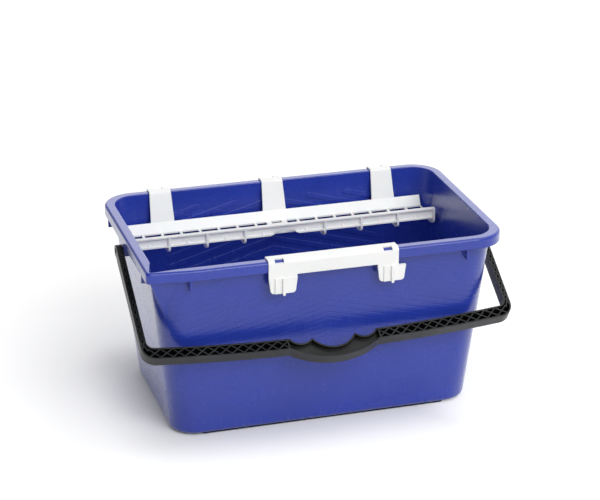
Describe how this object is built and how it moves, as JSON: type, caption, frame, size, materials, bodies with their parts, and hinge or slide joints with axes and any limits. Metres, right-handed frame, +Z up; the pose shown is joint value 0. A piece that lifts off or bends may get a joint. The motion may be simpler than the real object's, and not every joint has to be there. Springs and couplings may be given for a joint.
{
  "type": "window cleaning bucket",
  "caption": "Rectangular window cleaning bucket with a pouring corner, a swinging latticed handle, a hook-on strainer tray along the back wall and a tool clip on the front rim.",
  "frame": {"origin": "centre of the flat foot under the tub, on the floor", "axes": "+X along the bucket's length, -Y to the front where the handle hangs, +Z up"},
  "size_m": [0.4984, 0.3305, 0.2476],
  "materials": {
    "blue_plastic": "smooth, slightly glossy moulding",
    "black_plastic": "satin moulding",
    "white_plastic": "satin moulding"
  },
  "bodies": {
    "tub": {"tub": "blue_plastic"},
    "handle": {"handle": "black_plastic"},
    "strainer": {"strainer": "white_plastic"},
    "clip": {"clip": "white_plastic"}
  },
  "joints": [
    {"name": "handle_swing", "type": "hinge", "parent": "tub", "child": "handle", "pos_m": [0, 0, 0.222], "axis": [-1, 0, 0], "range_deg": [0, 240]},
    {"name": "strainer_lift", "type": "slide", "parent": "tub", "child": "strainer", "axis": [0, 0, 1], "range_m": [0, 0.1]},
    {"name": "clip_lift", "type": "slide", "parent": "tub", "child": "clip", "axis": [0, 0, 1], "range_m": [0, 0.1]}
  ]
}
